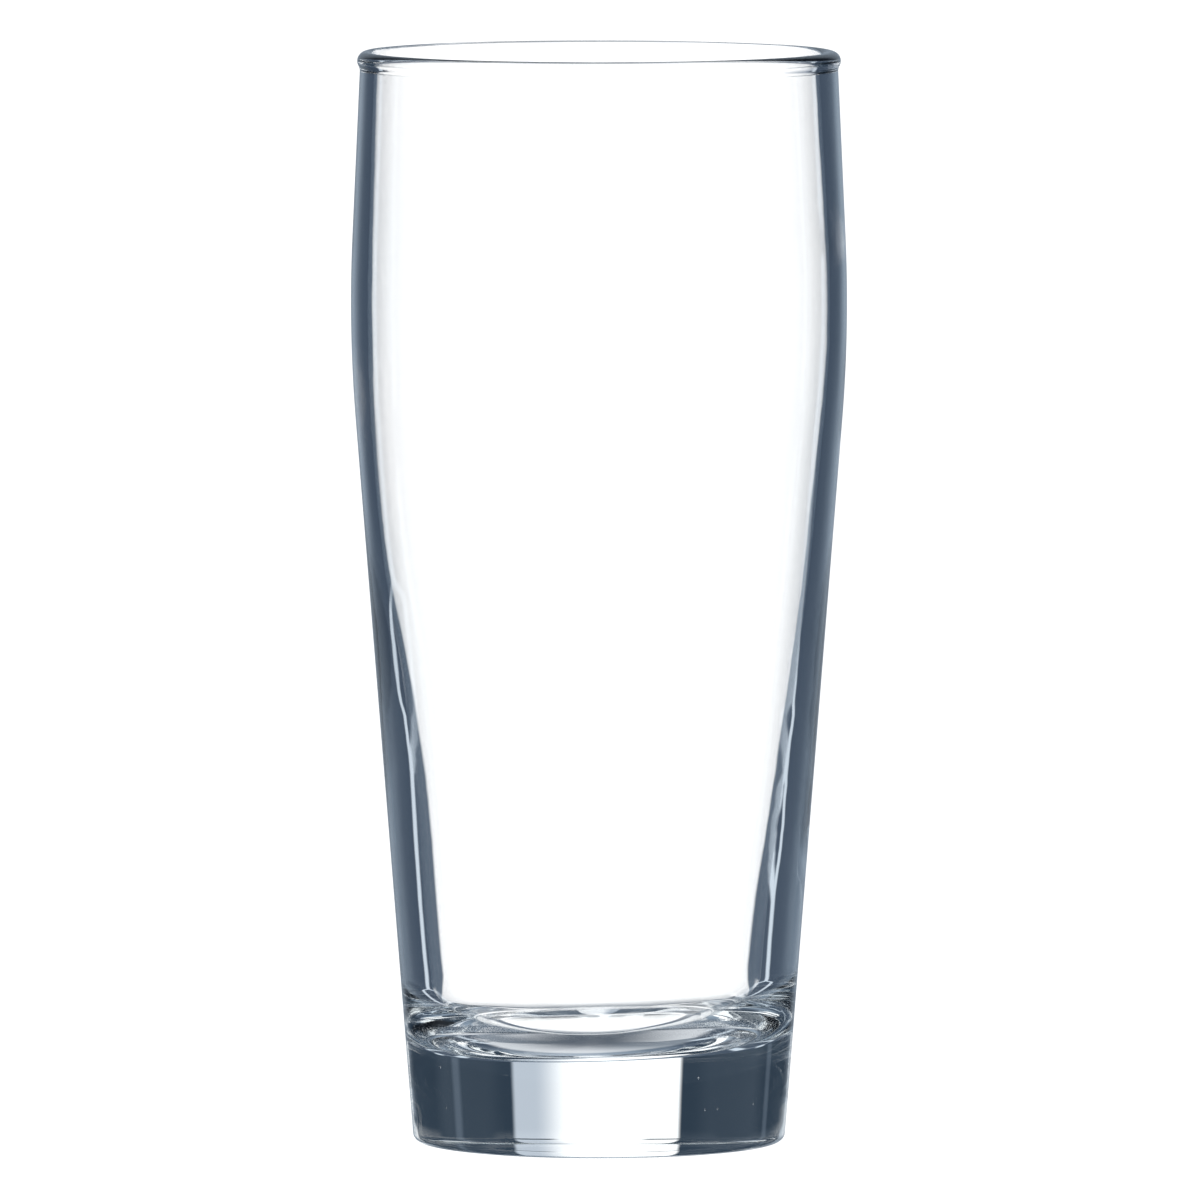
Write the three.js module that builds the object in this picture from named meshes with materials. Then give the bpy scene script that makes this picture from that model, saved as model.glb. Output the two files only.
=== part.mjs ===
// A pint glass: one piece of soda-lime glass with a heavy solid base, a straight lower cone, a soft
// belly below the mouth and a fire-polished bead round the rim. Millimetres, +Z up, with the origin
// at the centre of the ring that the glass stands on.
import * as THREE from "three";

// Outer form
const HEIGHT = 165; // from the table to the top of the rim bead
const BELLY_RADIUS = 37.45; // outer radius at the widest line
const BELLY_DROP = 38; // from the rim's top down to the widest line
const BELLY_CURVE = 220; // radius of the belly's arc, seen from the side
const LOWER_TAPER = THREE.MathUtils.degToRad(4.54); // how fast the lower cone widens upwards
const UPPER_TAPER = THREE.MathUtils.degToRad(2.6); // how fast the wall closes in above the belly

// Wall and rim
const WALL = 2.42; // blown upper wall
const BEAD_SWELL = 0.46; // how much thicker the rim bead is than the wall
const NECK_FILLET = 1.5; // hollow under the bead, outside

// Thick lower wall, left by the plunger that pressed the inside
const SHOULDER_HEIGHT = 83.5; // where the wall starts to thicken downwards
const SHOULDER_SOFTNESS = 11; // length over which it starts
const SHOULDER_GAIN = 3.05; // thickness that it gains in the end
const SHOULDER_REACH = 30; // length over which it gains most of that

// Base
const FLOOR = 14.2; // solid glass under the inside
const FLOOR_CORNER = 12; // radius between the inner floor and the inner wall
const HEEL = 1.3; // radius of the outer bottom edge
const RING_WIDTH = 3.8; // flat ring that the glass stands on
const HOLLOW_DEPTH = 1.2; // shallow hollow inside that ring

// Fineness of the faceted surface
const SIDES = 64;
const HOLLOW_STEPS = 5;
const HEEL_STEPS = 4;
const BELLY_STEPS = 8;
const NECK_STEPS = 3;
const BEAD_STEPS = 5; // on each side of the bead's top
const INNER_STEPS = 22;
const CORNER_STEPS = 9;

const UP = Math.PI / 2;
const DOWN = -UP;

// The outer wall is two cones joined by the belly's arc, which is tangent to both.
const bellyHeight = HEIGHT - BELLY_DROP;
const lowerConeTop = bellyHeight - BELLY_CURVE * Math.sin(LOWER_TAPER);
const upperConeFoot = bellyHeight + BELLY_CURVE * Math.sin(UPPER_TAPER);

function bellyRadiusAt(z) {
  const sagitta = BELLY_CURVE - Math.sqrt(BELLY_CURVE ** 2 - (z - bellyHeight) ** 2);
  return BELLY_RADIUS - sagitta;
}

function outerRadius(z) {
  if (z < lowerConeTop) {
    return bellyRadiusAt(lowerConeTop) - (lowerConeTop - z) * Math.tan(LOWER_TAPER);
  }
  if (z > upperConeFoot) {
    return bellyRadiusAt(upperConeFoot) - (z - upperConeFoot) * Math.tan(UPPER_TAPER);
  }
  return bellyRadiusAt(z);
}

// The wall keeps one thickness above the shoulder. Below it, it thickens softly, less and less.
function wallAt(z) {
  const depth = SHOULDER_HEIGHT - z;
  const below = (depth + Math.hypot(depth, SHOULDER_SOFTNESS)) / 2;
  return WALL + SHOULDER_GAIN * (1 - Math.exp(-below / SHOULDER_REACH));
}

function innerRadius(z) {
  return outerRadius(z) - wallAt(z);
}

function arc(r, z, radius, from, to, steps) {
  return Array.from({ length: steps + 1 }, (_, i) => {
    const angle = from + ((to - from) * i) / steps;
    return new THREE.Vector2(r + radius * Math.cos(angle), z + radius * Math.sin(angle));
  });
}

// Points on a wall from one height to another, both included.
function wall(radiusAt, from, to, steps) {
  return Array.from({ length: steps + 1 }, (_, i) => {
    const z = from + ((to - from) * i) / steps;
    return new THREE.Vector2(radiusAt(z), z);
  });
}

// Underside: a shallow spherical hollow, then the flat ring, then the rounded heel.
const heelHeight = HEEL * (1 - Math.sin(LOWER_TAPER));
const heelCentre = outerRadius(heelHeight) - HEEL * Math.cos(LOWER_TAPER);
const hollowRadius = heelCentre - RING_WIDTH;
const hollowSphere = (hollowRadius ** 2 + HOLLOW_DEPTH ** 2) / (2 * HOLLOW_DEPTH);
const hollowHalfAngle = Math.asin(hollowRadius / hollowSphere);

function underside() {
  const centre = HOLLOW_DEPTH - hollowSphere;
  return [
    ...arc(0, centre, hollowSphere, UP, UP - hollowHalfAngle, HOLLOW_STEPS),
    ...arc(heelCentre, HEEL, HEEL, DOWN, -LOWER_TAPER, HEEL_STEPS),
  ];
}

// Rim: a round bead, tangent to the inner wall, that stands proud of the outer wall.
const beadRadius = (WALL + BEAD_SWELL) / 2;
const beadHeight = HEIGHT - beadRadius;
const beadCentre = outerRadius(beadHeight) - WALL + beadRadius / Math.cos(UPPER_TAPER);

function rim() {
  const inset = (outerRadius(beadHeight) - beadCentre) * Math.cos(UPPER_TAPER);
  const across = NECK_FILLET + inset;
  const along = Math.sqrt((beadRadius + NECK_FILLET) ** 2 - across ** 2);
  const r = beadCentre + across * Math.cos(UPPER_TAPER) + along * Math.sin(UPPER_TAPER);
  const z = beadHeight + across * Math.sin(UPPER_TAPER) - along * Math.cos(UPPER_TAPER);
  const towardsBead = Math.atan2(beadHeight - z, beadCentre - r);
  const wallSide = Math.PI + UPPER_TAPER;
  return [
    ...arc(r, z, NECK_FILLET, wallSide, towardsBead, NECK_STEPS),
    ...arc(beadCentre, beadHeight, beadRadius, towardsBead - Math.PI, UP, BEAD_STEPS),
    ...arc(beadCentre, beadHeight, beadRadius, UP, wallSide, BEAD_STEPS),
  ];
}

// Inside, from the rim down to the floor.
function inside() {
  const cornerTop = FLOOR + FLOOR_CORNER;
  const lean = Math.atan(innerRadius(cornerTop + 1) - innerRadius(cornerTop));
  const wallFoot = cornerTop - FLOOR_CORNER * Math.sin(lean);
  const cornerCentre = innerRadius(wallFoot) - FLOOR_CORNER * Math.cos(lean);
  return [
    ...wall(innerRadius, upperConeFoot, wallFoot, INNER_STEPS),
    ...arc(cornerCentre, cornerTop, FLOOR_CORNER, -lean, DOWN, CORNER_STEPS),
    new THREE.Vector2(0, FLOOR),
  ];
}

// The whole outline, from the axis under the base, up the outside, over the rim and down inside.
function outline() {
  const points = [
    ...underside(),
    ...wall(outerRadius, lowerConeTop, upperConeFoot, BELLY_STEPS),
    ...rim(),
    ...inside(),
  ];
  return points.filter((point, i) => i === 0 || point.distanceTo(points[i - 1]) > 1e-6);
}

function makeGlass() {
  const geometry = new THREE.LatheGeometry(outline(), SIDES);
  geometry.rotateX(Math.PI / 2);
  const material = new THREE.MeshStandardMaterial({
    name: "clear glass",
    color: 0xdde8ec,
    roughness: 0.04,
    metalness: 0,
    transparent: true,
    opacity: 0.35,
  });
  const glass = new THREE.Mesh(geometry, material);
  glass.name = "glass_body";
  return glass;
}

const pintGlass = new THREE.Group();
pintGlass.name = "pint_glass";
pintGlass.add(makeGlass());

export default pintGlass;
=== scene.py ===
import math

import bpy
from bpy.props import FloatProperty, FloatVectorProperty, IntProperty, PointerProperty
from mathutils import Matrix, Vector, noise


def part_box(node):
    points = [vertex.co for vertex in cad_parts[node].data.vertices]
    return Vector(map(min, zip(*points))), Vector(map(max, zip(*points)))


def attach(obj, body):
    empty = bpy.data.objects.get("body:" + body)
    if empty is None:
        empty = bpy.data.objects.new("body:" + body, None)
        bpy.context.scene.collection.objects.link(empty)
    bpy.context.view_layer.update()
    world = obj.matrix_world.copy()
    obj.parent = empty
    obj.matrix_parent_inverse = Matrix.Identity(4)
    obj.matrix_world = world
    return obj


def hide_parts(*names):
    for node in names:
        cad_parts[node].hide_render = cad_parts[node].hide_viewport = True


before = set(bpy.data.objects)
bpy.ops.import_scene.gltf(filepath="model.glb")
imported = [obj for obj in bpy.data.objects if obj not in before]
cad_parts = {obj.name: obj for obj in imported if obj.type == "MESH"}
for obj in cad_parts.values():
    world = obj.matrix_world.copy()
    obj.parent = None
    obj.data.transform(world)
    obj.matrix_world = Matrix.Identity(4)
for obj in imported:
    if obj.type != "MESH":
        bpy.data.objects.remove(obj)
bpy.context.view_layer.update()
GLASS_LOW, GLASS_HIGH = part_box("glass_body")

bl_info = {
    "name": "Pint Glass",
    "version": (1, 0, 0),
    "blender": (4, 5, 0),
    "location": "3D View > Sidebar > Pint Glass",
    "description": "Turns a clear pint glass with a heavy base and sets it in a bright-field studio",
    "category": "Add Mesh",
}

MM = 0.001
UP = math.pi / 2
DOWN = -UP


# ---------------------------------------------------------------------------------------------
# What a user would change
# ---------------------------------------------------------------------------------------------


def length(name, description, millimetres):
    return FloatProperty(
        name=name,
        description=description,
        default=millimetres * MM,
        precision=5,
        subtype="DISTANCE",
        unit="LENGTH",
    )


def angle(name, description, degrees):
    return FloatProperty(
        name=name,
        description=description,
        default=math.radians(degrees),
        subtype="ANGLE",
        unit="ROTATION",
    )


def share(name, description, value):
    return FloatProperty(name=name, description=description, default=value, precision=4)


def colour(name, description, rgb):
    return FloatVectorProperty(
        name=name, description=description, default=rgb, size=3, subtype="COLOR", min=0, max=1
    )


class GlassForm(bpy.types.PropertyGroup):
    """The sizes of the glass, seen in half section."""

    height: length("Height", "Table to the top of the rim", GLASS_HIGH.z / MM)
    belly_radius: length("Belly radius", "Outer radius at the widest line", GLASS_HIGH.x / MM)
    belly_drop: length("Belly drop", "Rim's top down to the widest line", 38)
    belly_curve: length("Belly curve", "Radius of the belly's arc, seen from the side", 220)
    lower_taper: angle("Lower taper", "How fast the lower cone widens upwards", 4.54)
    upper_taper: angle("Upper taper", "How fast the wall closes in above the belly", 2.6)
    wall: length("Wall", "Thickness of the upper wall", 2.42)
    bead_swell: length("Bead swell", "How much thicker the rim bead is than the wall", 0.46)
    neck_fillet: length("Neck fillet", "Radius of the hollow under the bead", 1.5)
    shoulder_height: length("Shoulder height", "Where the wall starts to thicken downwards", 83.5)
    shoulder_softness: length("Shoulder softness", "Length over which it starts", 11)
    shoulder_gain: length("Shoulder gain", "Thickness that the lower wall gains in the end", 3.05)
    shoulder_reach: length("Shoulder reach", "Length over which it gains most of that", 30)
    floor: length("Floor", "Solid glass under the inside", 14.2)
    floor_corner: length("Floor corner", "Radius between inner floor and inner wall", 12)
    heel: length("Heel", "Radius of the outer bottom edge", 1.3)
    ring_width: length("Ring width", "Flat ring that the glass stands on", 3.8)
    hollow_depth: length("Hollow depth", "Depth of the hollow inside that ring", 1.2)
    hollow_edge: length("Hollow edge", "Rounding between the ring and the hollow", 0.8)
    sides: IntProperty(name="Sides", description="Facets round the glass", default=256)


class GlassFlaws(bpy.types.PropertyGroup):
    """Where the plunger and the mould left the glass a little uneven."""

    drift_mean: length("Mean drift", "How far the inside stands off centre, towards -X", 0.13)
    drift_swing: length("Drift swing", "How much that varies with height", 0.15)
    drift_height: length("Drift height", "Where the inside stands furthest off centre", 94)
    drift_length: length("Drift length", "Height from one such place to the next", 65)
    floor_tilt: angle("Floor tilt", "How far the inner floor rises towards +X", 2.0)
    ripple: length("Ripple", "Depth of the ripples round the foot of the inside", 0.045)
    ripple_top: length("Ripple top", "How far up the inside they reach", 29)
    waver: length("Waver", "Depth of the long waves up the inside", 0.012)
    seed: length("Seed", "Radius of the largest of the bubbles in the base", 0.17)


class GlassFinish(bpy.types.PropertyGroup):
    """What the glass is like to light."""

    ior: share("Refractive index", "Soda-lime glass", 1.52)
    tint: colour("Tint", "Colour that thick glass takes", (0.82, 0.93, 0.96))
    cast: colour("Cast", "What the skin's faint patches let through", (0.985, 0.992, 0.995))
    haze: share("Haze", "Roughness of what a cloth left on the skin", 0.006)
    scuff: share("Scuff", "Roughness of the scuffs on the standing ring", 0.35)
    skin: share("Skin", "Strength of the fire-polished skin's unevenness", 0.25)
    tint_depth: FloatProperty(
        name="Tint density", description="Strength of the tint, per metre", default=4.0
    )


class Studio(bpy.types.PropertyGroup):
    """The light round the glass."""

    backdrop: share("Backdrop", "Brightness of the white backdrop that the camera sees", 1.15)
    panel: share("Panel", "Brightness of the white panels that the glass sees", 1.35)


# ---------------------------------------------------------------------------------------------
# Outline of the glass
# ---------------------------------------------------------------------------------------------


def arc(r, z, radius, start, end, steps):
    """Points along a round stretch, both ends included."""
    turns = [start + (end - start) * i / steps for i in range(steps + 1)]
    return [Vector((r + radius * math.cos(t), 0, z + radius * math.sin(t))) for t in turns]


def run(radius_at, start, end, steps):
    """Points along a wall from one height to another, both included."""
    heights = [start + (end - start) * i / steps for i in range(steps + 1)]
    return [Vector((radius_at(z), 0, z)) for z in heights]


# How many steps each stretch of the outline has
HOLLOW_STEPS = 22
HOLLOW_EDGE_STEPS = 5
HEEL_STEPS = 14
OUTER_STEPS = 90
NECK_STEPS = 8
BEAD_OUTER_STEPS = 16
BEAD_INNER_STEPS = 14
UPPER_INNER_STEPS = 80
LOWER_INNER_STEPS = 60
CORNER_STEPS = 40
FLOOR_STEPS = 12

CLOSE_STEPS_TOP = 28 * MM  # above the inner corner, how far up the inside has closer steps
CONE_START = 0.05  # share of the lower cone's height where its points start, well above the heel
SAME_POINT = 0.01 * MM  # points closer than this count as one


class Section:
    """The glass in half section. Its outer wall is two cones joined by an arc, tangent to both."""

    def __init__(self, form):
        self.form = form
        self.belly_height = form.height - form.belly_drop
        self.cone_top = self.belly_height - form.belly_curve * math.sin(form.lower_taper)
        self.neck_foot = self.belly_height + form.belly_curve * math.sin(form.upper_taper)

    def belly(self, z):
        curve = self.form.belly_curve
        return self.form.belly_radius - curve + math.sqrt(curve**2 - (z - self.belly_height) ** 2)

    def outer(self, z):
        form = self.form
        if z < self.cone_top:
            return self.belly(self.cone_top) - (self.cone_top - z) * math.tan(form.lower_taper)
        if z > self.neck_foot:
            return self.belly(self.neck_foot) - (z - self.neck_foot) * math.tan(form.upper_taper)
        return self.belly(z)

    def wall(self, z):
        """The wall keeps one thickness above the shoulder and keeps growing below it."""
        form = self.form
        depth = form.shoulder_height - z
        below = (depth + math.hypot(depth, form.shoulder_softness)) / 2
        return form.wall + form.shoulder_gain * (1 - math.exp(-below / form.shoulder_reach))

    def inner(self, z):
        return self.outer(z) - self.wall(z)

    def underside(self):
        """A shallow hollow, a soft edge, the standing ring and the heel."""
        form = self.form
        heel_height = form.heel * (1 - math.sin(form.lower_taper))
        heel_centre = self.outer(heel_height) - form.heel * math.cos(form.lower_taper)
        hollow = heel_centre - form.ring_width
        sphere = (hollow**2 + form.hollow_depth**2) / (2 * form.hollow_depth)
        # The edge's arc is tangent to the ring from above and to the hollow's sphere from outside.
        edge = form.hollow_edge
        centre = form.hollow_depth - sphere
        edge_r = math.sqrt((sphere + edge) ** 2 - (edge - centre) ** 2)
        lean = math.atan2(edge_r, edge - centre)
        return [
            *arc(0, centre, sphere, UP, UP - lean, HOLLOW_STEPS),
            *arc(edge_r, edge, edge, DOWN - lean, DOWN, HOLLOW_EDGE_STEPS),
            *run(lambda z: heel_centre, 0, 0, 1),
            *arc(heel_centre, form.heel, form.heel, DOWN, -form.lower_taper, HEEL_STEPS),
        ]

    def rim(self):
        """The neck's hollow and the bead, which is tangent to the inner wall."""
        form = self.form
        taper = form.upper_taper
        bead = (form.wall + form.bead_swell) / 2
        height = form.height - bead
        centre = self.outer(height) - form.wall + bead / math.cos(taper)
        across = form.neck_fillet + (self.outer(height) - centre) * math.cos(taper)
        along = math.sqrt((bead + form.neck_fillet) ** 2 - across**2)
        r = centre + across * math.cos(taper) + along * math.sin(taper)
        z = height + across * math.sin(taper) - along * math.cos(taper)
        towards = math.atan2(height - z, centre - r)
        return [
            *arc(r, z, form.neck_fillet, math.pi + taper, towards, NECK_STEPS),
            *arc(centre, height, bead, towards - math.pi, UP, BEAD_OUTER_STEPS),
            *arc(centre, height, bead, UP, math.pi + taper, BEAD_INNER_STEPS),
        ]

    def inside(self):
        """The inner wall, with closer steps near its foot, then the corner and the flat floor."""
        form = self.form
        corner = form.floor_corner
        top = form.floor + corner
        lean = math.atan((self.inner(top + MM) - self.inner(top)) / MM)
        foot = top - corner * math.sin(lean)
        centre = self.inner(foot) - corner * math.cos(lean)
        close = foot + CLOSE_STEPS_TOP
        shares = [1 - i / FLOOR_STEPS for i in range(1, FLOOR_STEPS + 1)]
        return [
            *run(self.inner, self.neck_foot, close, UPPER_INNER_STEPS),
            *run(self.inner, close, foot, LOWER_INNER_STEPS),
            *arc(centre, top, corner, -lean, DOWN, CORNER_STEPS),
            *[Vector((centre * share, 0, form.floor)) for share in shares],
        ]

    def outline(self):
        """From the axis under the base, up the outside, over the rim and down the inside."""
        points = [
            *self.underside(),
            *run(self.outer, self.cone_top * CONE_START, self.neck_foot, OUTER_STEPS),
            *self.rim(),
            *self.inside(),
        ]
        kept = points[:1]
        for point in points[1:]:
            if (point - kept[-1]).length > SAME_POINT:
                kept.append(point)
        return kept


# ---------------------------------------------------------------------------------------------
# Shader maths
# ---------------------------------------------------------------------------------------------


class Shader:
    """A node tree that is written as expressions."""

    def __init__(self, tree):
        self.tree = tree
        tree.nodes.clear()

    def node(self, kind, settings=None, **inputs):
        """Adds a node, sets what it is, fills or links its sockets, and returns its outputs.

        A socket goes by its name, with _ for a space, or by its number after a _.
        """
        made = self.tree.nodes.new(kind)
        for name, value in (settings or {}).items():
            setattr(made, name, value)
        for name, value in inputs.items():
            key = int(name[1:]) if name[0] == "_" else name.replace("_", " ")
            if isinstance(value, Wire):
                self.tree.links.new(value.socket, made.inputs[key])
            else:
                made.inputs[key].default_value = value
        return {out.name: Wire(self, out) for out in made.outputs if out.enabled}

    def mix(self, share, before, after):
        """One colour or number turning into another as share goes from 0 to 1."""
        settings = {"data_type": "RGBA"}
        return self.node("ShaderNodeMix", settings, _0=share, _6=before, _7=after)["Result"]


class Wire:
    """A value that varies over a surface or a sky. Arithmetic on it adds Math nodes."""

    def __init__(self, shader, socket):
        self.shader = shader
        self.socket = socket

    def maths(self, operation, *others):
        values = {f"_{i}": value for i, value in enumerate((self, *others))}
        made = self.shader.node("ShaderNodeMath", {"operation": operation}, **values)
        return made["Value"]

    def reflected(self, operation, other):
        made = self.shader.node("ShaderNodeMath", {"operation": operation}, _0=other, _1=self)
        return made["Value"]

    def __add__(self, other):
        return self.maths("ADD", other)

    def __sub__(self, other):
        return self.maths("SUBTRACT", other)

    def __mul__(self, other):
        return self.maths("MULTIPLY", other)

    def __truediv__(self, other):
        return self.maths("DIVIDE", other)

    def __rsub__(self, other):
        return self.reflected("SUBTRACT", other)

    __radd__ = __add__
    __rmul__ = __mul__

    def size(self):
        """The number without its sign."""
        return self.maths("ABSOLUTE")

    def rise(self, start, end):
        """0 before start, 1 after end, smooth between."""
        settings = {"interpolation_type": "SMOOTHSTEP"}
        inputs = {"_0": self, "_1": start, "_2": end}
        return self.shader.node("ShaderNodeMapRange", settings, **inputs)["Result"]

    def fall(self, start, end):
        """1 before start, 0 after end, smooth between."""
        return 1 - self.rise(start, end)

    def within(self, low, high, soft):
        """1 between low and high, 0 outside, smooth over soft at each end."""
        return self.rise(low - soft, low + soft) * self.fall(high - soft, high + soft)


# ---------------------------------------------------------------------------------------------
# The glass
# ---------------------------------------------------------------------------------------------

WELD = 0.002 * MM  # points closer than this are merged where the turned shape meets itself


def clear_selection():
    if bpy.context.mode != "OBJECT":
        bpy.ops.object.mode_set(mode="OBJECT")
    bpy.ops.object.select_all(action="DESELECT")


def turned(name, outline, sides):
    """A solid of revolution: one point drawn out along the outline, then spun round the axis."""
    clear_selection()
    bpy.ops.mesh.primitive_plane_add(size=MM, location=outline[0])
    piece = bpy.context.object
    piece.name = piece.data.name = name
    bpy.ops.object.transform_apply(location=True, rotation=True, scale=True)
    bpy.ops.object.mode_set(mode="EDIT")
    bpy.ops.mesh.select_all(action="SELECT")
    bpy.ops.mesh.merge(type="CENTER")
    for before, after in zip(outline, outline[1:]):
        bpy.ops.mesh.extrude_vertices_move(TRANSFORM_OT_translate={"value": after - before})
    bpy.ops.mesh.select_all(action="SELECT")
    bpy.ops.mesh.spin(steps=sides, angle=2 * math.pi, center=(0, 0, 0), axis=(0, 0, 1))
    bpy.ops.mesh.select_all(action="SELECT")
    bpy.ops.mesh.remove_doubles(threshold=WELD)
    bpy.ops.mesh.normals_make_consistent(inside=False)
    bpy.ops.object.mode_set(mode="OBJECT")
    bpy.ops.object.shade_smooth()
    return piece


def displaced(piece, axis, strength, weight):
    """Moves the piece's points along an axis, by strength times each point's weight."""
    group = piece.vertex_groups.new(name="weight")
    for vertex in piece.data.vertices:
        share = weight(vertex.co)
        if share > 0:
            group.add([vertex.index], share, "REPLACE")
    modifier = piece.modifiers.new("displaced", "DISPLACE")
    modifier.direction = axis
    modifier.mid_level = 0
    modifier.strength = strength
    modifier.vertex_group = group.name
    bpy.ops.object.modifier_apply(modifier=modifier.name)
    piece.vertex_groups.clear()


# Bubbles: bearing from the front in degrees, height and depth under the skin in millimetres, and
# radius as a share of the largest.
SEEDS = (
    (33, 11.8, 2.5, 1.0),
    (36, 6.9, 2.5, 0.9),
    (41, 6.9, 2.5, 0.9),
    (57, 7.1, 2.0, 0.9),
    (-58, 12.6, 2.0, 1.0),
    (-57, 6.5, 2.5, 0.8),
    (140, 8.5, 3.0, 1.0),
    (-125, 10.2, 4.0, 0.9),
    (96, 5.5, 2.8, 0.8),
)


def clamp(value):
    return min(max(value, 0), 1)


def ease(value, start, end):
    """0 before start, 1 after end, smooth between."""
    t = clamp((value - start) / (end - start))
    return t * t * (3 - 2 * t)


NOISE_GAIN = 0.6  # how far the noise swings round its middle, before its ends are cut off

# Size of a ripple and of a long wave, round the glass and up it, in millimetres
RIPPLE_SIZE = (8, 2.4)
WAVER_SIZE = (5, 38)

RIPPLE_START = 12 * MM  # radius inside which the inner floor stays flat
RIPPLE_FULL = 20 * MM  # radius where the ripples have their full depth
TILT_TOP = 1.2  # height above the floor up to which all tilts with it, in corner radii
TILT_FADE = 2  # height over which the tilt then fades out, in corner radii


def make_uneven(piece, section, flaws):
    """Moves the inside off centre, tilts the inner floor and adds ripples and long waves."""
    form = section.form
    drift_most = flaws.drift_mean + flaws.drift_swing

    def insideness(co):
        """0 on the outer surface, 1 on the inner one."""
        if co.z < form.floor / 2:
            return 0
        return clamp((section.outer(co.z) - math.hypot(co.x, co.y)) / section.wall(co.z))

    def drift(co):
        turn = 2 * math.pi * (co.z - flaws.drift_height) / flaws.drift_length
        here = flaws.drift_mean + flaws.drift_swing * math.cos(turn)
        return insideness(co) * clamp(here / drift_most)

    def tilt(co):
        """The share of the floor's rise that a point takes: more the further out towards +X."""
        floor_top = form.floor + TILT_TOP * form.floor_corner
        near_floor = 1 - ease(co.z, floor_top, floor_top + TILT_FADE * form.floor_corner)
        return insideness(co) * near_floor * co.x / form.belly_radius

    def grain(co, across, along):
        """Noise from 0 to 1, with its own scale round the glass and up it, in millimetres."""
        place = Vector((co.x / across, co.y / across, co.z / along)) / MM
        return clamp(0.5 + NOISE_GAIN * noise.noise(place))

    def ripple(co):
        low = 1 - ease(co.z, form.floor + form.floor_corner / 2, flaws.ripple_top)
        away = ease(math.hypot(co.x, co.y), RIPPLE_START, RIPPLE_FULL)
        return insideness(co) * low * away * grain(co, *RIPPLE_SIZE)

    def waver(co):
        return insideness(co) * ease(co.z, form.floor, 2 * form.floor) * grain(co, *WAVER_SIZE)

    floor_rise = form.belly_radius * math.tan(flaws.floor_tilt)
    displaced(piece, "X", -drift_most, drift)
    # A point's weight is never below 0, so the half that sinks has a turn of its own.
    displaced(piece, "Z", floor_rise, tilt)
    displaced(piece, "Z", -floor_rise, lambda co: -tilt(co))
    displaced(piece, "NORMAL", flaws.ripple, ripple)
    displaced(piece, "NORMAL", flaws.waver, waver)


def add_seeds(piece, section, flaws):
    """Tiny bubbles in the base. Their faces point into the bubble, away from the glass."""
    for bearing, height, depth, size in SEEDS:
        reach = section.outer(height * MM) - depth * MM
        turn = math.radians(bearing)
        place = Vector((reach * math.sin(turn), -reach * math.cos(turn), height * MM))
        clear_selection()
        bpy.ops.mesh.primitive_ico_sphere_add(
            subdivisions=2, radius=flaws.seed * size, location=place
        )
        bpy.ops.object.transform_apply(location=True, rotation=True, scale=True)
        bpy.ops.object.shade_smooth()
        bpy.ops.object.mode_set(mode="EDIT")
        bpy.ops.mesh.flip_normals()
        bpy.ops.object.mode_set(mode="OBJECT")
        piece.select_set(True)
        bpy.context.view_layer.objects.active = piece
        bpy.ops.object.join()


# Patches in the finish: the noise's scale and detail, and its values where they start and are full
CAST_PATCHES = (24.0, 2.0, 0.3, 0.7)
HAZE_PATCHES = (70.0, 4.0, 0.5, 0.75)
SCUFF_PATCHES = (1600.0, 3.0, 0.42, 0.62)

CLEAR = (1, 1, 1, 1)
SCUFF_FADE = (0.02, 0.35)  # height over which the scuffs fade out, in millimetres
SKIN_NOISE = (190.0, 1.0)  # scale and detail of the unevenness of the skin
SKIN_DEPTH = 0.02 * MM


def clear_glass(finish):
    """Clear glass with a faint cast, some haze, a scuffed standing ring and a polished skin."""
    material = bpy.data.materials.new("clear soda-lime glass")
    material.use_nodes = True
    glass = Shader(material.node_tree)
    place = glass.node("ShaderNodeTexCoord")["Object"]
    z = glass.node("ShaderNodeSeparateXYZ", Vector=place)["Z"] / MM

    def grain(scale, detail):
        return glass.node("ShaderNodeTexNoise", Vector=place, Scale=scale, Detail=detail)["Fac"]

    def patches(scale, detail, start, full):
        return grain(scale, detail).rise(start, full)

    scuffs = patches(*SCUFF_PATCHES) * z.fall(*SCUFF_FADE)
    roughness = finish.haze * patches(*HAZE_PATCHES) + finish.scuff * scuffs
    body = glass.mix(patches(*CAST_PATCHES), CLEAR, (*finish.cast, 1))
    skin = glass.node(
        "ShaderNodeBump", Strength=finish.skin, Distance=SKIN_DEPTH, Height=grain(*SKIN_NOISE)
    )
    surface = glass.node(
        "ShaderNodeBsdfPrincipled",
        Base_Color=body,
        Roughness=roughness,
        Normal=skin["Normal"],
        IOR=finish.ior,
        Transmission_Weight=1.0,
    )
    volume = glass.node(
        "ShaderNodeVolumeAbsorption", Color=(*finish.tint, 1), Density=finish.tint_depth
    )
    glass.node("ShaderNodeOutputMaterial", Surface=surface["BSDF"], Volume=volume["Volume"])
    return material


class GLASS_OT_body(bpy.types.Operator):
    """Turn the glass from its half section and give it its finish"""

    bl_idname = "pint_glass.body"
    bl_label = "Glass Body"

    def execute(self, context):
        form = context.scene.pint_glass_form
        section = Section(form)
        piece = turned("pint_glass_body", section.outline(), form.sides)
        make_uneven(piece, section, context.scene.pint_glass_flaws)
        add_seeds(piece, section, context.scene.pint_glass_flaws)
        piece.data.materials.append(clear_glass(context.scene.pint_glass_finish))
        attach(piece, "root")
        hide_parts("glass_body")
        return {"FINISHED"}


# ---------------------------------------------------------------------------------------------
# The studio
# ---------------------------------------------------------------------------------------------

# Colours of the cards round the glass
SLATE_LEFT = (0.36, 0.44, 0.53, 1)
SLATE_RIGHT = (0.30, 0.38, 0.47, 1)
SLATE_EDGE = (0.06, 0.085, 0.125, 1)
STRIP = (0.75, 0.85, 0.95, 1)
NAVY = (0.030, 0.048, 0.072, 1)
NAVY_STREAK = (0.09, 0.12, 0.16, 1)

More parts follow.
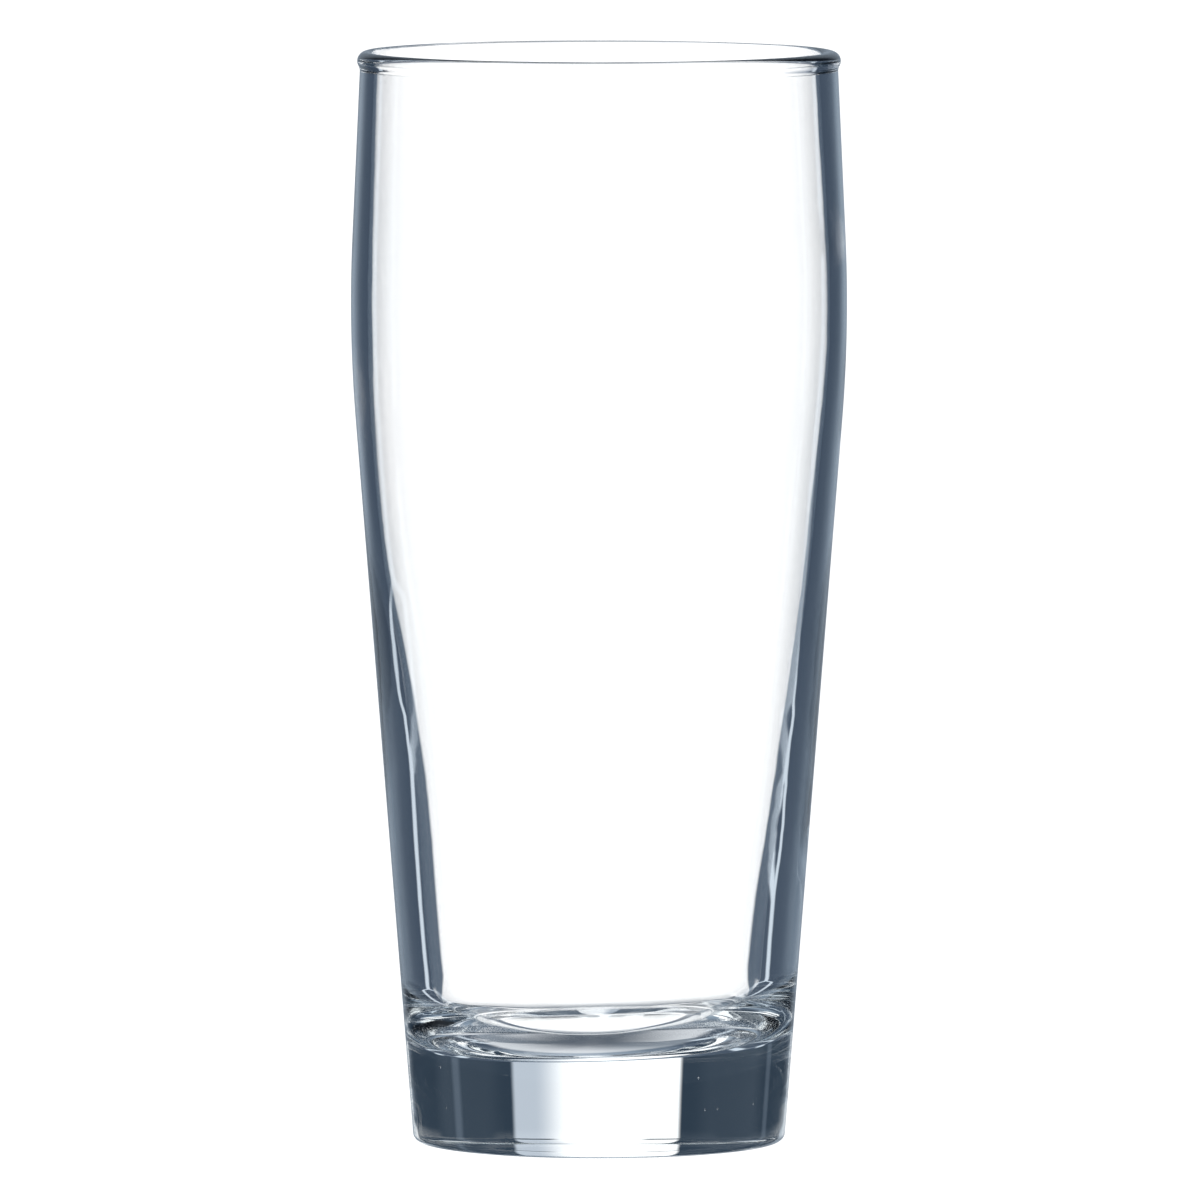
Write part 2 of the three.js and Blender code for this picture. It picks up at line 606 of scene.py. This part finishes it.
# Colours of the shaded parts of the panels, of the table and of what the outside mirrors
PANEL_FOOT = (0.25, 0.28, 0.32, 1)
PANEL_SIDE = (0.56, 0.62, 0.70, 1)
TABLE = (0.72, 0.75, 0.79, 1)
TABLE_CORNER = (0.26, 0.3, 0.35, 1)
TABLE_UNDER = (0.10, 0.12, 0.15, 1)
MIRRORED = (0.30, 0.36, 0.43, 1)
MIRRORED_CORNER = (0.04, 0.055, 0.08, 1)

# Where the cards, panels and shades begin and end, in degrees. Two numbers are the start and the
# end of a soft change. Three are the two edges of a band and their softness.
SIDE_END = 45
HORIZON = (-0.9, -0.1)
LOW_HORIZON = (-4, 0, 0.5)
SLATE_SEAM = (-2, 2)
SLATE_DARKENING = (-6, 30)
STRIP_SOFTNESS = (1, 3.5)
STRIP_PLACE = 35.5
STRIP_SHIFT = 9.5  # how much further out the strip lies above the heights where it shifts
STRIP_SHIFT_UP = (-16, -13)
PANEL = (-19.2, 21.0, 1.2)
PANEL_FOOT_UP = (-66, -36)
CORNER = (27, 34)
CORNER_UP = (-17, -13)
STREAK = (36, 39, 1)
BASE_PANEL = (-17.7, 18.9, 0.7)
BASE_PANEL_SIDE = (4, 14)
REFLECTED_UP = (10, 17, 1)
REFLECTED_BACK = (0.6, 0.8)  # not in degrees: how much of the ray's direction is towards +Y
EDGE_UP = (1.8, 5, 0.5)
EDGE_ASIDE = (8, 11)
TABLE_DARKENING = (0, 30)
TABLE_UNDER_UP = (-84, -42)
TABLE_UP = (-42, -32)
NADIR = (-75, -70)
MIRRORED_DARKENING = (16, 32)

# The floor and the camera, in metres, except the sensor and the lens, which are in millimetres
FLOOR_SIZE = 60
CAMERA_PLACE = (0, -2.94, 0.3035)
CAMERA_AIM = (0.00015, 0, 0.082)
SENSOR_WIDTH = 36
LENS = 585.3
NEAREST = 0.1
FARTHEST = 100

# How often light may pass through glass, and be mirrored by it, before it is given up
THROUGH = 32
MIRRORINGS = 16


def grey(brightness):
    return (brightness, brightness, brightness, 1)


class Tent:
    """White panels and dark cards all round the glass, in a pattern that repeats four times.

    All angles are in degrees. Across is measured from the middle of the nearest of the four
    sides, aside is the same without its sign, and up is measured from the horizon. The one
    thing that doesn't repeat is a band that only the panel at the back shows to rays reflected
    inside the base.
    """

    def __init__(self, sky, studio):
        place = sky.node("ShaderNodeTexCoord")["Generated"]
        towards = sky.node("ShaderNodeSeparateXYZ", Vector=place)
        turn = towards["X"].maths("ARCTAN2", towards["Y"]).maths("DEGREES")
        self.sky = sky
        self.path = sky.node("ShaderNodeLightPath")
        self.white = grey(studio.panel)
        self.back = towards["Y"]
        self.across = turn.maths("WRAP", SIDE_END, -SIDE_END)
        self.aside = self.across.size()
        self.up = towards["Z"].maths("ARCSINE").maths("DEGREES")
        # 1 for rays that came through without being reflected inside the glass, else 0
        self.straight = self.path["Glossy Depth"].fall(0, 1)

    def below_horizon(self):
        """Slate-blue cards that darken sideways, with a strip of light near their outer edge."""
        mix, up, aside = self.sky.mix, self.up, self.aside
        slate = mix(self.across.rise(*SLATE_SEAM), SLATE_LEFT, SLATE_RIGHT)
        cards = mix(aside.rise(*SLATE_DARKENING), slate, SLATE_EDGE)
        strip_place = STRIP_PLACE + STRIP_SHIFT * up.rise(*STRIP_SHIFT_UP)
        cards = mix((aside - strip_place).size().fall(*STRIP_SOFTNESS), cards, STRIP)
        # The panel is seen straight through the glass, and its foot fades into shade.
        panel = mix(up.fall(*PANEL_FOOT_UP), self.white, PANEL_FOOT)
        cards = mix(self.across.within(*PANEL) * self.straight, cards, panel)
        # Beyond the table's four corners all is white.
        corner = aside.rise(*CORNER) * up.fall(*CORNER_UP) * self.straight
        return mix(corner, cards, self.white)

    def above_horizon(self):
        """Navy cards and the panel, which has a blue-grey side, as the base shows them."""
        mix, up, across = self.sky.mix, self.up, self.across
        cards = mix(across.within(*STREAK), NAVY, NAVY_STREAK)
        panel = mix(across.rise(*BASE_PANEL_SIDE), self.white, PANEL_SIDE)
        # The first dark band is for rays reflected inside the base, except from the panel at the
        # back. The second keeps the panel out of the base's left and right edges.
        reflected = (1 - self.straight) * up.within(*REFLECTED_UP) * self.back.fall(*REFLECTED_BACK)
        edge = self.straight * up.within(*EDGE_UP) * self.aside.rise(*EDGE_ASIDE)
        window = across.within(*BASE_PANEL) * (1 - reflected) * (1 - edge)
        return mix(window, cards, panel)

    def horizon(self):
        """The cards above and below, which meet lower for rays that crossed solid glass once."""
        crossed_once = self.path["Transmission Depth"].fall(2, 4) * self.straight
        above = self.up.rise(*HORIZON) + crossed_once * self.up.within(*LOW_HORIZON)
        return self.sky.mix(above, self.below_horizon(), self.above_horizon())

    def with_table(self, view):
        """Adds the table, darkest right under the glass, for rays reflected inside the glass."""
        mix, up = self.sky.mix, self.up
        table = mix(self.across.rise(*TABLE_DARKENING), TABLE, TABLE_CORNER)
        table = mix(up.rise(*TABLE_UNDER_UP), TABLE_UNDER, table)
        view = mix(up.fall(*TABLE_UP) * (1 - self.straight), view, table)
        return mix(up.fall(*NADIR) * self.straight, view, self.white)

    def mirrored(self):
        """The much darker cards that the outside of the glass mirrors."""
        return self.sky.mix(self.aside.rise(*MIRRORED_DARKENING), MIRRORED, MIRRORED_CORNER)


def light_tent(studio):
    """The light round the glass. The camera itself sees only the plain backdrop."""
    world = bpy.data.worlds.new("light tent")
    world.use_nodes = True
    sky = Shader(world.node_tree)
    tent = Tent(sky, studio)
    view = tent.with_table(tent.horizon())
    view = sky.mix(tent.path["Is Reflection Ray"], view, tent.mirrored())
    view = sky.mix(tent.path["Is Camera Ray"], view, grey(studio.backdrop))
    light = sky.node("ShaderNodeBackground", Color=view, Strength=1)
    sky.node("ShaderNodeOutputWorld", Surface=light["Background"])
    return world


def pale_floor(studio):
    """A floor that glows as brightly as the backdrop, so that no line shows between the two."""
    clear_selection()
    bpy.ops.mesh.primitive_plane_add(size=FLOOR_SIZE)
    floor = bpy.context.object
    floor.name = "studio_floor"
    material = bpy.data.materials.new("pale floor")
    material.use_nodes = True
    shader = Shader(material.node_tree)
    glow = shader.node("ShaderNodeEmission", Color=CLEAR, Strength=studio.backdrop)
    shader.node("ShaderNodeOutputMaterial", Surface=glow["Emission"])
    floor.data.materials.append(material)
    floor.visible_transmission = False
    floor.visible_glossy = False
    floor.visible_diffuse = False
    return floor


def aimed_camera():
    """A camera with a long lens, far off and a little above the glass."""
    bpy.ops.object.camera_add(location=CAMERA_PLACE)
    camera = bpy.context.object
    aim = Vector(CAMERA_AIM) - camera.location
    camera.rotation_euler = aim.to_track_quat("-Z", "Y").to_euler()
    camera.data.sensor_width = SENSOR_WIDTH
    camera.data.lens = LENS
    camera.data.clip_start = NEAREST
    camera.data.clip_end = FARTHEST
    return camera


class GLASS_OT_studio(bpy.types.Operator):
    """Put the glass on a pale floor, in front of a white backdrop, and aim the camera at it"""

    bl_idname = "pint_glass.studio"
    bl_label = "Studio"

    def execute(self, context):
        scene = context.scene
        studio = scene.pint_glass_studio
        pale_floor(studio)
        scene.world = light_tent(studio)
        scene.camera = aimed_camera()
        scene.view_settings.view_transform = "Standard"
        scene.cycles.max_bounces = THROUGH
        scene.cycles.transmission_bounces = THROUGH
        scene.cycles.glossy_bounces = MIRRORINGS
        return {"FINISHED"}


class GLASS_PT_panel(bpy.types.Panel):
    """The steps of making the glass"""

    bl_idname = "GLASS_PT_panel"
    bl_label = "Pint Glass"
    bl_space_type = "VIEW_3D"
    bl_region_type = "UI"
    bl_category = "Pint Glass"

    def draw(self, context):
        for step in OPERATORS:
            self.layout.operator(step.bl_idname)


OPERATORS = (GLASS_OT_body, GLASS_OT_studio)
GROUPS = {
    "pint_glass_form": GlassForm,
    "pint_glass_flaws": GlassFlaws,
    "pint_glass_finish": GlassFinish,
    "pint_glass_studio": Studio,
}


def register():
    for kind in (*GROUPS.values(), *OPERATORS, GLASS_PT_panel):
        bpy.utils.register_class(kind)
    for name, group in GROUPS.items():
        setattr(bpy.types.Scene, name, PointerProperty(type=group))


def unregister():
    for name in GROUPS:
        delattr(bpy.types.Scene, name)
    for kind in (GLASS_PT_panel, *reversed(OPERATORS), *GROUPS.values()):
        bpy.utils.unregister_class(kind)


def main():
    register()
    bpy.ops.pint_glass.body()
    bpy.ops.pint_glass.studio()


if __name__ == "__main__":
    main()
